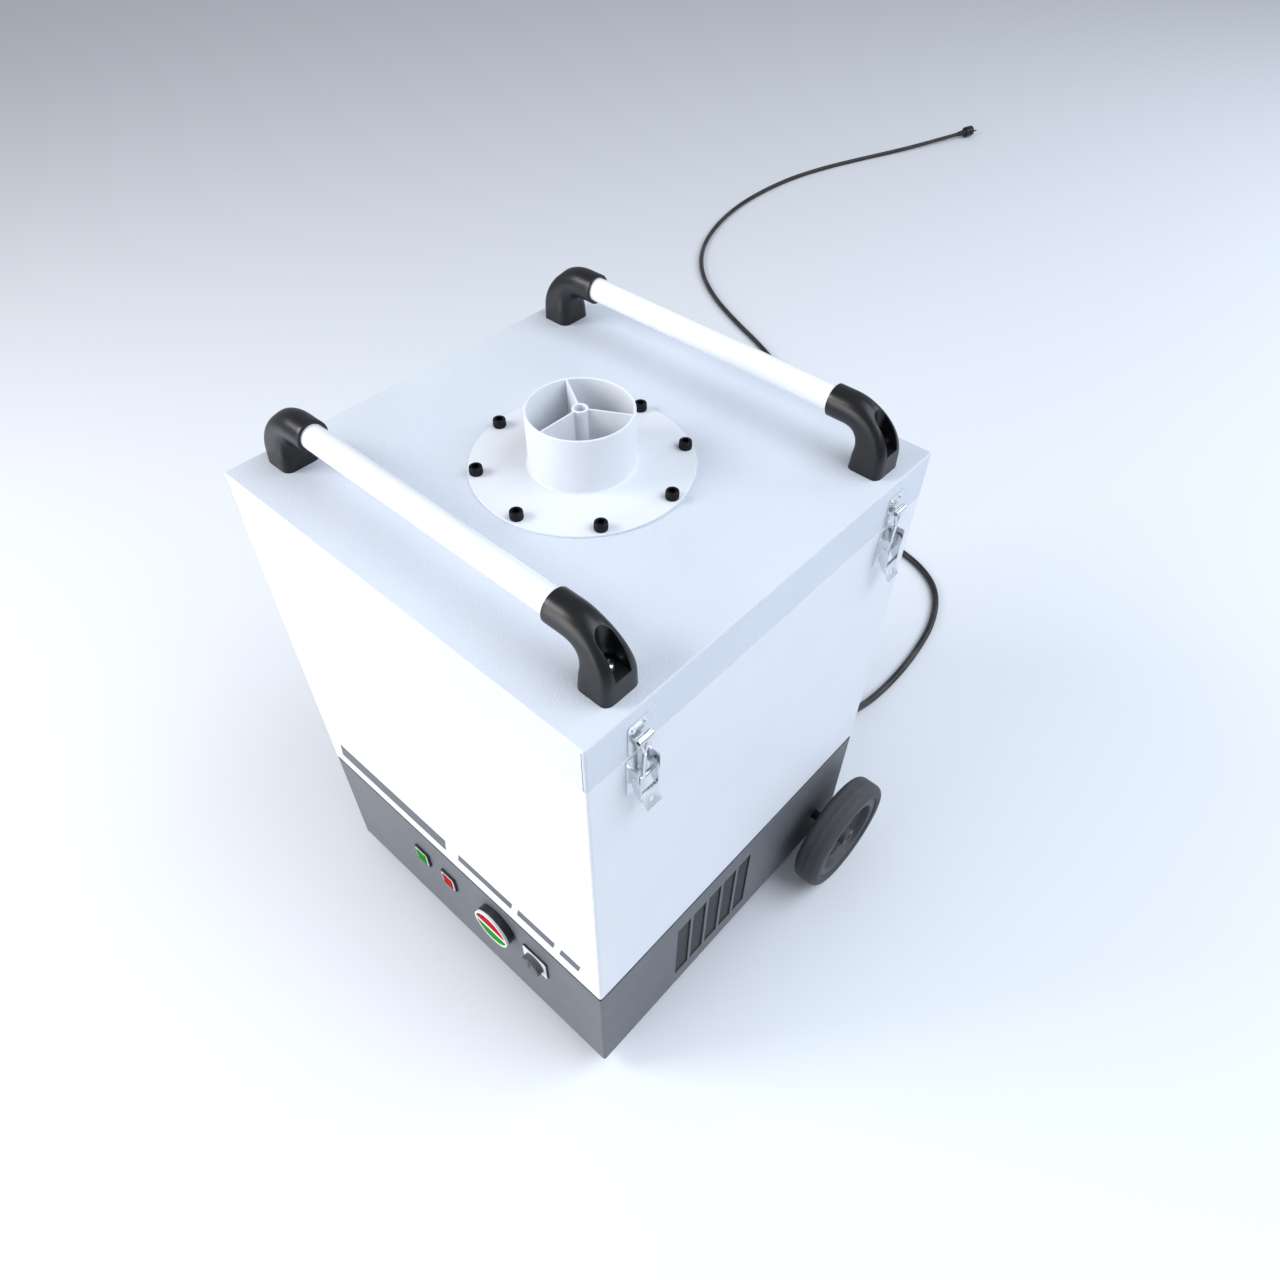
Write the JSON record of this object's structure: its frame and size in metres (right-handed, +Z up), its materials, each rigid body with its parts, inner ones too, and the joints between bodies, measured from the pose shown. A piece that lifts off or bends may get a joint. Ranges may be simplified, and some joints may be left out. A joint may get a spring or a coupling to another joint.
{
  "type": "mobile welding fume extractor",
  "caption": "Box-shaped wheeled fume extractor with a latched lid, a round duct spigot, two tubular lifting handles and a front control panel.",
  "frame": {"origin": "on the floor, under the middle of the machine without its mains cable", "axes": "+Z up, the control panel looks towards -Y, +X is the side on the right of someone who stands at the control panel"},
  "size_m": [1.8073, 3.7387, 0.897],
  "materials": {
    "white_paint": "fine textured powder coat",
    "grey_paint": "satin powder coat",
    "bare_steel": "galvanised sheet",
    "zinc": "bright zinc plate",
    "handle_white": "gloss paint",
    "black_plastic": "satin moulded nylon",
    "black_oxide": "black oxide",
    "rubber_black": "matt",
    "tyre_grey": "matt solid rubber",
    "hub_grey": "moulded",
    "mesh_dark": "satin",
    "stripe_grey": "printed",
    "white_plastic": "moulded",
    "green_plastic": "moulded",
    "red_plastic": "moulded",
    "knob_grey": "moulded",
    "filter_card": "folded glass-fibre paper",
    "filter_mat": "polyester fleece",
    "motor_grey": "painted casting",
    "cable_rubber": "matt sheath"
  },
  "bodies": {
    "cabinet": {"base_pan": "grey_paint", "base_shell": "grey_paint", "divider_plate": "bare_steel", "seal_strip": "rubber_black", "side_meshes": "mesh_dark", "front_feet": "rubber_black", "body_shell": "white_paint", "body_rim": "bare_steel", "lid_gasket": "rubber_black", "front_stripe": "stripe_grey", "lamp_housings": "white_plastic", "green_lamp_lens": "green_plastic", "red_lamp_lens": "red_plastic", "switch_housing": "black_plastic", "switch_bezel": "white_plastic", "knob_plate": "white_plastic", "control_box": "bare_steel", "latch_bases": "zinc", "axle": "bare_steel", "axle_brackets": "bare_steel", "filter_rails": "bare_steel", "filter_frame": "bare_steel", "filter_media": "filter_card", "prefilter_mat": "filter_mat", "motor_mount": "bare_steel", "fan_motor": "motor_grey", "inlet_cone": "bare_steel", "cable_gland": "black_plastic", "strain_relief": "rubber_black", "mains_cable": "cable_rubber", "mains_plug": "black_plastic"},
    "lid": {"lid_shell": "white_paint", "duct_flange": "white_paint", "duct_spigot": "white_paint", "spigot_spider": "white_paint", "flange_screws": "black_oxide", "handle_tube_front": "handle_white", "handle_tube_rear": "handle_white", "handle_bracket_front_left": "black_plastic", "handle_bracket_front_right": "black_plastic", "handle_bracket_rear_left": "black_plastic", "handle_bracket_rear_right": "black_plastic", "handle_screws": "zinc", "latch_strikes": "zinc"},
    "wheel_left": {"wheel_tyre_left": "tyre_grey", "wheel_hub_left": "hub_grey"},
    "wheel_right": {"wheel_tyre_right": "tyre_grey", "wheel_hub_right": "hub_grey"},
    "fan_wheel": {"fan_impeller": "bare_steel"},
    "start_button": {"start_button": "green_plastic"},
    "stop_button": {"stop_button": "red_plastic"},
    "speed_knob": {"speed_knob": "knob_grey"},
    "lever_front_right": {"latch_lever_front_right": "zinc"},
    "link_front_right": {"latch_link_front_right": "zinc"},
    "lever_front_left": {"latch_lever_front_left": "zinc"},
    "link_front_left": {"latch_link_front_left": "zinc"},
    "lever_rear_right": {"latch_lever_rear_right": "zinc"},
    "link_rear_right": {"latch_link_rear_right": "zinc"},
    "lever_rear_left": {"latch_lever_rear_left": "zinc"},
    "link_rear_left": {"latch_link_rear_left": "zinc"}
  },
  "joints": [
    {"name": "lid_lift", "type": "slide", "parent": "cabinet", "child": "lid", "axis": [0, 0, 1], "range_m": [0, 0.06]},
    {"name": "wheel_spin_left", "type": "hinge", "parent": "cabinet", "child": "wheel_left", "pos_m": [-0.34, 0.21725, 0.1], "axis": [1, 0, 0], "continuous": true},
    {"name": "wheel_spin_right", "type": "hinge", "parent": "cabinet", "child": "wheel_right", "pos_m": [0.34, 0.21725, 0.1], "axis": [1, 0, 0], "continuous": true},
    {"name": "fan_spin", "type": "hinge", "parent": "cabinet", "child": "fan_wheel", "pos_m": [0, -0.02875, 0.172], "axis": [0, 0, 1], "continuous": true},
    {"name": "start_press", "type": "slide", "parent": "cabinet", "child": "start_button", "axis": [0, 1, 0], "range_m": [0, 0.003], "stiffness_N_per_m": 800},
    {"name": "stop_press", "type": "slide", "parent": "cabinet", "child": "stop_button", "axis": [0, 1, 0], "range_m": [0, 0.003], "stiffness_N_per_m": 800},
    {"name": "speed_turn", "type": "hinge", "parent": "cabinet", "child": "speed_knob", "pos_m": [0.16, -0.30925, 0.184], "axis": [0, 1, 0], "range_deg": [0, 270]},
    {"name": "lever_swing_front_right", "type": "hinge", "parent": "cabinet", "child": "lever_front_right", "pos_m": [0.299, -0.23075, 0.726], "axis": [0, -1, 0], "range_deg": [0, 70]},
    {"name": "link_swing_front_right", "type": "hinge", "parent": "lever_front_right", "child": "link_front_right", "pos_m": [0.2965, -0.23075, 0.711], "axis": [0, 1, 0], "range_deg": [0, 130]},
    {"name": "lever_swing_front_left", "type": "hinge", "parent": "cabinet", "child": "lever_front_left", "pos_m": [-0.299, -0.23075, 0.726], "axis": [0, 1, 0], "range_deg": [0, 70]},
    {"name": "link_swing_front_left", "type": "hinge", "parent": "lever_front_left", "child": "link_front_left", "pos_m": [-0.2965, -0.23075, 0.711], "axis": [0, -1, 0], "range_deg": [0, 130]},
    {"name": "lever_swing_rear_right", "type": "hinge", "parent": "cabinet", "child": "lever_rear_right", "pos_m": [0.299, 0.21325, 0.726], "axis": [0, -1, 0], "range_deg": [0, 70]},
    {"name": "link_swing_rear_right", "type": "hinge", "parent": "lever_rear_right", "child": "link_rear_right", "pos_m": [0.2965, 0.21325, 0.711], "axis": [0, 1, 0], "range_deg": [0, 130]},
    {"name": "lever_swing_rear_left", "type": "hinge", "parent": "cabinet", "child": "lever_rear_left", "pos_m": [-0.299, 0.21325, 0.726], "axis": [0, 1, 0], "range_deg": [0, 70]},
    {"name": "link_swing_rear_left", "type": "hinge", "parent": "lever_rear_left", "child": "link_rear_left", "pos_m": [-0.2965, 0.21325, 0.711], "axis": [0, -1, 0], "range_deg": [0, 130]}
  ],
  "couplings": [
    {"joint": "lever_swing_front_right", "follows": "lid_lift", "rad_per_m": 20.36},
    {"joint": "link_swing_front_right", "follows": "lid_lift", "rad_per_m": 37.812},
    {"joint": "lever_swing_front_left", "follows": "lid_lift", "rad_per_m": 20.36},
    {"joint": "link_swing_front_left", "follows": "lid_lift", "rad_per_m": 37.812},
    {"joint": "lever_swing_rear_right", "follows": "lid_lift", "rad_per_m": 20.36},
    {"joint": "link_swing_rear_right", "follows": "lid_lift", "rad_per_m": 37.812},
    {"joint": "lever_swing_rear_left", "follows": "lid_lift", "rad_per_m": 20.36},
    {"joint": "link_swing_rear_left", "follows": "lid_lift", "rad_per_m": 37.812}
  ]
}
